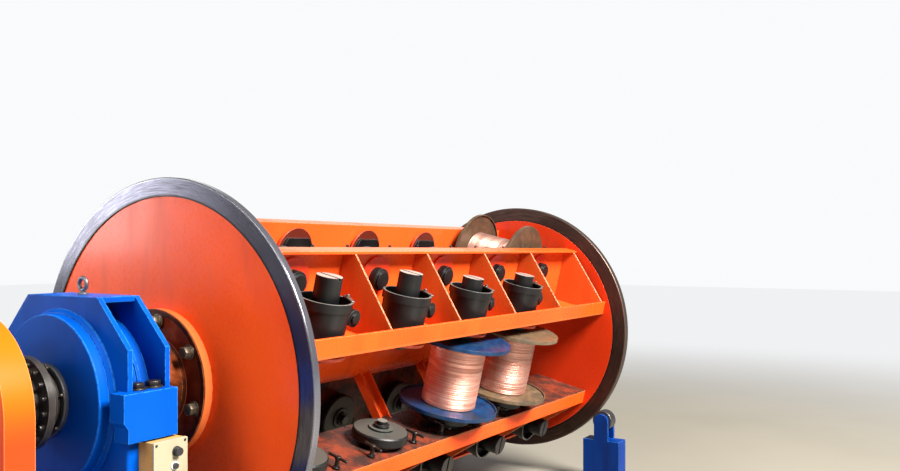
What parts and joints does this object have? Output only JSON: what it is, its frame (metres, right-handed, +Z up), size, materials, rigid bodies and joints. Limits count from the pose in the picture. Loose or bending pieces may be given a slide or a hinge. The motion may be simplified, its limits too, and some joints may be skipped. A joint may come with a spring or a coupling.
{
  "type": "cage stranding machine",
  "caption": "Cage stranding machine: an open cage of bobbin bays between two steel-rimmed discs, on a front bearing pedestal and rear rollers.",
  "frame": {"origin": "on the floor under the middle of the front pedestal's foot, below the cage's axis", "axes": "+X along the cage's axis from the pedestal to the rear disc, +Y away from the side that is loaded, +Z up"},
  "size_m": [4.807, 2.021, 2.1998],
  "materials": {
    "blue_enamel": "gloss machine enamel, chipped at edges",
    "orange_enamel": "gloss machine enamel, scuffed",
    "guard_enamel": "gloss machine enamel",
    "rim_steel": "worn rolled steel with a darker skin",
    "shaft_steel": "oiled dark steel",
    "chuck_iron": "oiled black castings",
    "spool_steel": "pressed steel, painted and worn",
    "copper_wire": "bright drawn copper wire in layers",
    "box_enamel": "cream enamel",
    "black_plastic": "moulded black plastic"
  },
  "bodies": {
    "frame": {"pedestal_base": "blue_enamel", "pedestal_front_plate": "blue_enamel", "pedestal_rear_plate": "blue_enamel", "pedestal_top_plate": "blue_enamel", "bearing_drum": "blue_enamel", "bearing_cover": "blue_enamel", "seal_ring": "shaft_steel", "eye_bolt": "shaft_steel", "drive_base": "blue_enamel", "drive_guard": "guard_enamel", "control_box": "box_enamel", "near_roller_stand": "blue_enamel", "far_roller_stand": "blue_enamel"},
    "cage": {"front_disc": "orange_enamel", "front_rim": "rim_steel", "hub_flange": "orange_enamel", "main_shaft": "shaft_steel", "drive_wheel": "shaft_steel", "central_tube": "orange_enamel", "core_spokes": "orange_enamel", "arm_1": "orange_enamel", "arm_2": "orange_enamel", "arm_3": "orange_enamel", "arm_4": "orange_enamel", "arm_gussets": "orange_enamel", "row_1_chucks": "chuck_iron", "row_2_chucks": "chuck_iron", "row_3_chucks": "chuck_iron", "row_4_chucks": "chuck_iron", "rear_disc": "orange_enamel", "rear_rim": "rim_steel", "rear_hub": "orange_enamel"},
    "near_roller": {"near_roller": "rim_steel"},
    "far_roller": {"far_roller": "rim_steel"},
    "speed_knob": {"speed_knob": "black_plastic"},
    "push_button": {"push_button": "black_plastic"},
    "bobbin_1": {"bobbin_1_spool": "spool_steel", "bobbin_1_winding": "copper_wire"},
    "bobbin_2": {"bobbin_2_spool": "spool_steel", "bobbin_2_winding": "copper_wire"},
    "bobbin_3": {"bobbin_3_spool": "spool_steel", "bobbin_3_winding": "copper_wire"}
  },
  "joints": [
    {"name": "cage_spin", "type": "hinge", "parent": "frame", "child": "cage", "pos_m": [0, 0, 1.2], "axis": [1, 0, 0], "continuous": true},
    {"name": "near_roller_spin", "type": "hinge", "parent": "frame", "child": "near_roller", "pos_m": [4.045, -0.81049, 0.48545], "axis": [1, 0, 0], "continuous": true},
    {"name": "far_roller_spin", "type": "hinge", "parent": "frame", "child": "far_roller", "pos_m": [4.045, 0.81049, 0.48545], "axis": [1, 0, 0], "continuous": true},
    {"name": "bobbin_1_spin", "type": "hinge", "parent": "cage", "child": "bobbin_1", "pos_m": [2.19, -0.57312, 1.08555], "axis": [0, -0.2334, 0.9724], "continuous": true},
    {"name": "bobbin_2_spin", "type": "hinge", "parent": "cage", "child": "bobbin_2", "pos_m": [2.87, -0.57312, 1.08555], "axis": [0, -0.2334, 0.9724], "continuous": true},
    {"name": "bobbin_3_spin", "type": "hinge", "parent": "cage", "child": "bobbin_3", "pos_m": [3.55, -0.11445, 1.77312], "axis": [0, 0.9724, 0.2334], "continuous": true},
    {"name": "knob_turn", "type": "hinge", "parent": "frame", "child": "speed_knob", "pos_m": [0.057, -0.56, 1.008], "axis": [0, -1, 0], "range_deg": [-135, 135]},
    {"name": "button_press", "type": "slide", "parent": "frame", "child": "push_button", "axis": [0, 1, 0], "range_m": [0, 0.004], "stiffness_N_per_m": 400, "springref_m": -0.002}
  ],
  "couplings": [
    {"joint": "near_roller_spin", "follows": "cage_spin", "ratio": -12.5},
    {"joint": "far_roller_spin", "follows": "cage_spin", "ratio": -12.5}
  ]
}
